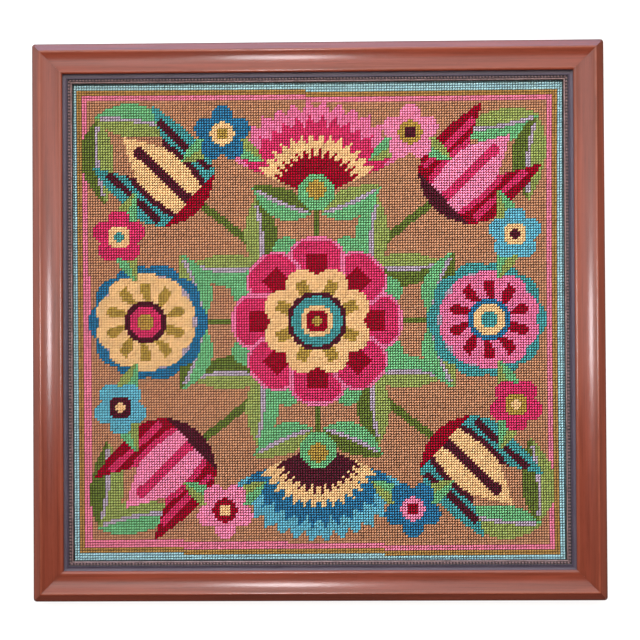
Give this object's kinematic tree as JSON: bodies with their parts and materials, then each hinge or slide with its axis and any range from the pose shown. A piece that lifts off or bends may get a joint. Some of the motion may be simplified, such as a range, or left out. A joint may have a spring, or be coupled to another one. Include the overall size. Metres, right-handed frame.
{
  "type": "framed needlepoint canvas panel",
  "caption": "Flat wool needlepoint canvas with a floral field and striped border, held in a mitred, scooped wood frame with a narrow beaded slip; hangs on a wall or stands on a ledge.",
  "frame": {"origin": "middle of the back, on the plane of the moulding's back", "axes": "+X to the picture's right, +Y to its top, +Z out of its face"},
  "size_m": [0.464, 0.453, 0.02],
  "materials": {
    "stitched_wool": "matte wool tent stitch on cotton canvas",
    "stained_wood": "red-brown stain under semi-gloss varnish",
    "painted_slip": "satin blue-grey paint with a rubbed copper sight edge"
  },
  "bodies": {
    "root": {"needlepoint_canvas": "stitched_wool", "frame_top": "stained_wood", "frame_bottom": "stained_wood", "frame_left": "stained_wood", "frame_right": "stained_wood", "slip_top": "painted_slip", "slip_bottom": "painted_slip", "slip_left": "painted_slip", "slip_right": "painted_slip"}
  },
  "joints": []
}
